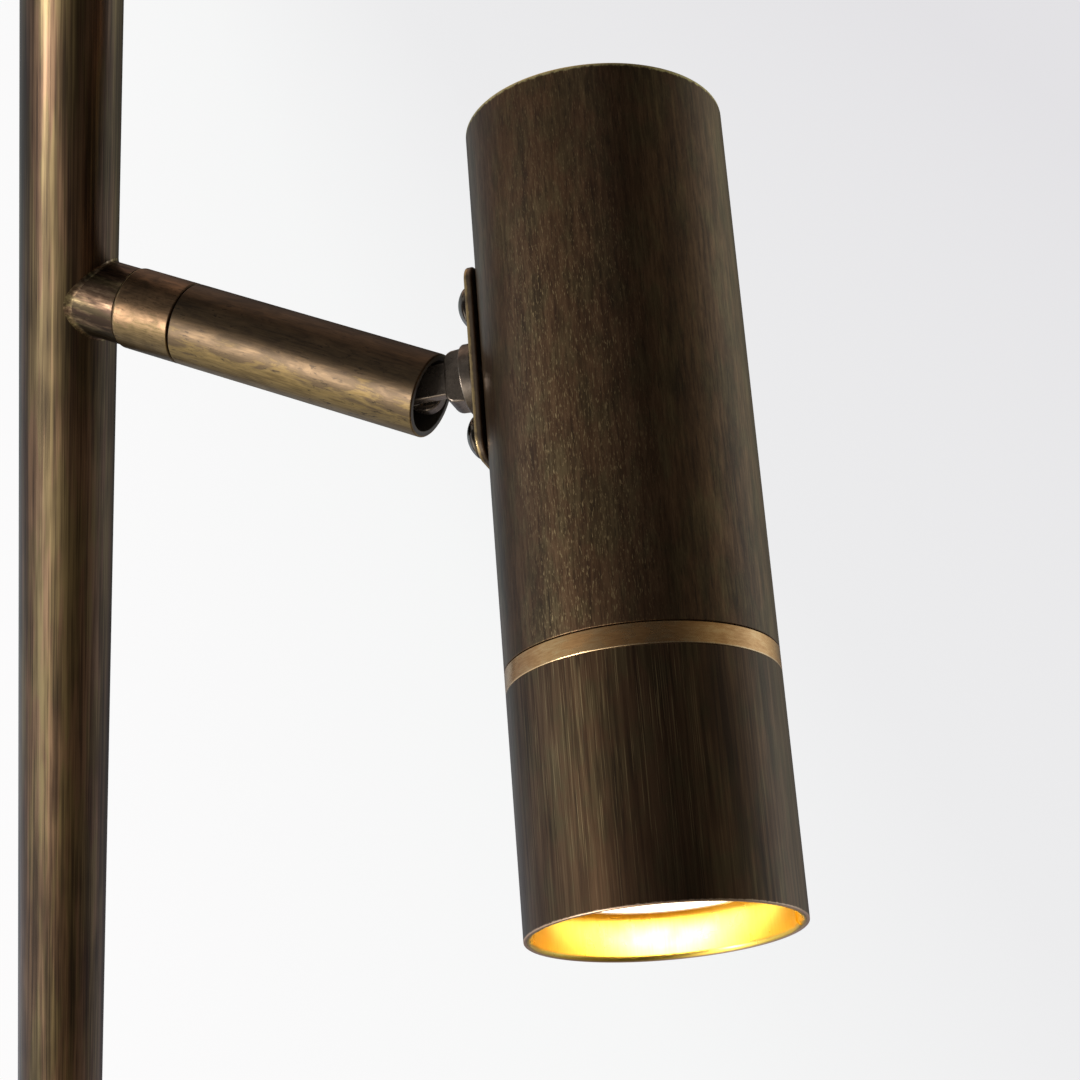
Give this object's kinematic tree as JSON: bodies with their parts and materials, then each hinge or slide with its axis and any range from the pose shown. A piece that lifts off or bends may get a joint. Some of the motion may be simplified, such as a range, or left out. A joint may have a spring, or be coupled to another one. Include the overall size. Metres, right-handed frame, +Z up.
{
  "type": "tension pole lamp",
  "caption": "Floor-to-ceiling tension pole lamp: a slim brushed bronze pole carries a short swivelling side arm and a tilting cylindrical spot head with a copper band and a gold-lined mouth.",
  "frame": {"origin": "centre of the floor pad's bottom face, where the pole meets the floor", "axes": "+Z up the pole to the ceiling pad; +X from the pole along the side arm; +Y away from the side that the picture shows"},
  "size_m": [0.2567, 0.16, 2.4],
  "materials": {
    "pole_bronze": "steel tube with a brushed antique bronze finish",
    "foot_bronze": "turned steel with an antique bronze finish",
    "swivel_bronze": "bronzed brass, lengthwise brushing",
    "braze_gold": "thin bead of brazing metal",
    "arm_brass": "patinated brass, gold below and dark brown above",
    "knuckle_metal": "dark brown-black, smooth and slightly glossy",
    "plate_metal": "dark bronzed steel sheet",
    "plate_screw_metal": "domed dark steel screws",
    "dark_screw": "blackened steel",
    "housing_bronze": "dark patinated bronze with brown-gold speckle",
    "cap_bronze": "dark bronzed sheet",
    "band_copper": "polished copper-gold band, worn at its upper edge",
    "shade_bronze": "bronze with lengthwise brushed streaks",
    "gold_sheet": "rolled gold-coloured sheet",
    "plain_steel": "plain zinc-plated steel",
    "rod_steel": "polished steel",
    "spring_steel": "oiled spring wire",
    "plain_brass": "plain turned brass",
    "knob_brass": "fluted bronzed brass knob",
    "rubber": "dark matt rubber",
    "nylon": "natural nylon",
    "terminal_plastic": "off-white plastic",
    "lead_sheath": "dark round lead",
    "core_sleeve": "heat-proof glass sleeving",
    "holder_ceramic": "unglazed white ceramic",
    "lamp_body": "silvered glass reflector on a ceramic base",
    "lamp_lens": "clear front glass of the lit lamp"
  },
  "bodies": {
    "pole": {"floor_pad": "rubber", "floor_foot": "foot_bronze", "foot_grub_screw": "dark_screw", "lower_pole": "pole_bronze", "pole_joiner": "plain_steel", "joiner_screws": "dark_screw", "upper_pole": "pole_bronze", "cord_grommet": "rubber", "inlet_terminal": "terminal_plastic", "pole_lead": "lead_sheath", "arm_stub": "swivel_bronze", "braze_bead": "braze_gold", "swivel_sleeve": "swivel_bronze", "swivel_nipple": "plain_brass", "stop_pin": "plain_steel", "swivel_washer": "plain_steel", "swivel_nut": "plain_brass", "clamp_collar": "foot_bronze", "guide_bush": "nylon"},
    "clamp_screw": {"clamp_screw": "knob_brass"},
    "telescope": {"telescope_tube": "pole_bronze", "glide_ring": "nylon", "spring_seat": "plain_steel", "spring_seat_pin": "plain_steel", "plunger_guide": "nylon"},
    "plunger": {"plunger_rod": "rod_steel", "plunger_piston": "plain_steel", "tension_spring": "spring_steel", "ceiling_cup": "foot_bronze", "cup_grub_screw": "dark_screw", "ceiling_pad": "rubber"},
    "arm": {"arm_tube": "arm_brass", "arm_bush": "plain_brass", "arm_end_plug": "plain_steel", "knuckle_arm_half": "knuckle_metal", "knuckle_screw": "dark_screw", "knuckle_nut": "dark_screw", "knuckle_washer": "nylon"},
    "head": {"knuckle_head_half": "knuckle_metal", "stem_nut": "plain_steel", "mount_plate": "plate_metal", "plate_screws": "plate_screw_metal", "housing_tube": "housing_bronze", "top_cap": "cap_bronze", "accent_ring": "band_copper", "shade_tube": "shade_bronze", "gold_liner": "gold_sheet", "holder_bracket": "plain_steel", "lamp_holder": "holder_ceramic", "holder_screws": "plain_steel", "terminal_block": "terminal_plastic", "terminal_screws": "plain_brass", "head_lead": "lead_sheath", "holder_cores": "core_sleeve", "lamp_reflector": "lamp_body", "lamp_glass": "lamp_lens", "lamp_pins": "rod_steel"}
  },
  "joints": [
    {"name": "arm_swivel", "type": "hinge", "parent": "pole", "child": "arm", "pos_m": [0.036, 0, 1.45], "axis": [1, 0, 0], "range_deg": [-124.12, 205.88]},
    {"name": "head_tilt", "type": "hinge", "parent": "arm", "child": "head", "pos_m": [0.09843, 0, 1.45], "axis": [0, -0.7561, 0.6545], "range_deg": [-57.15, 2.85]},
    {"name": "height_slide", "type": "slide", "parent": "pole", "child": "telescope", "axis": [0, 0, 1], "range_m": [-0.15, 0.25]},
    {"name": "clamp_turn", "type": "hinge", "parent": "pole", "child": "clamp_screw", "pos_m": [0, 0, 1.948], "axis": [0, -1, 0], "range_deg": [0, 360]},
    {"name": "tension_plunger", "type": "slide", "parent": "telescope", "child": "plunger", "axis": [0, 0, 1], "range_m": [-0.035, 0], "stiffness_N_per_m": 3900, "springref_m": 0.02, "deforming": ["tension_spring"]}
  ]
}
